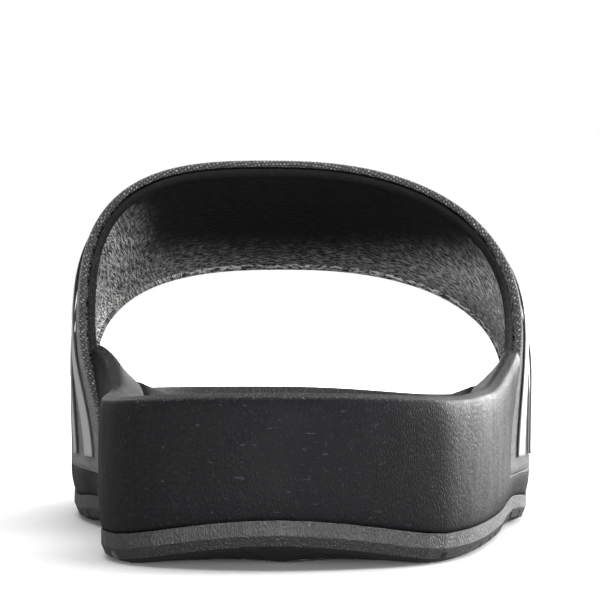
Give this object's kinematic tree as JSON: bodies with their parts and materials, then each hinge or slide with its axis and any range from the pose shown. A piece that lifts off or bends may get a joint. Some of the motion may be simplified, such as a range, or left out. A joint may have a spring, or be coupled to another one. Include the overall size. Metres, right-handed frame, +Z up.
{
  "type": "sport slide sandal",
  "caption": "Right sport slide sandal: a moulded foam sole with a raised rim and contoured insole, and one wide padded strap over the instep.",
  "frame": {"origin": "on the floor, under the middle of the shoe's bounding box", "axes": "+Y towards the toe, +X towards the outer (lateral) side of the right foot, +Z up"},
  "size_m": [0.1147, 0.28, 0.0858],
  "materials": {
    "black_rubber": "matte moulded tread",
    "black_foam": "matte moulded foam with a fine leather grain",
    "black_knit": "ribbed knit outside, brushed lining inside",
    "black_binding": "smooth folded edge tape",
    "light_grey_film": "satin bonded film"
  },
  "bodies": {
    "root": {"outsole": "black_rubber", "midsole": "black_foam", "insole": "black_foam", "strap": "black_knit", "rear_binding": "black_binding", "front_binding": "black_binding", "wide_stripe": "light_grey_film", "narrow_stripe": "light_grey_film"}
  },
  "joints": []
}
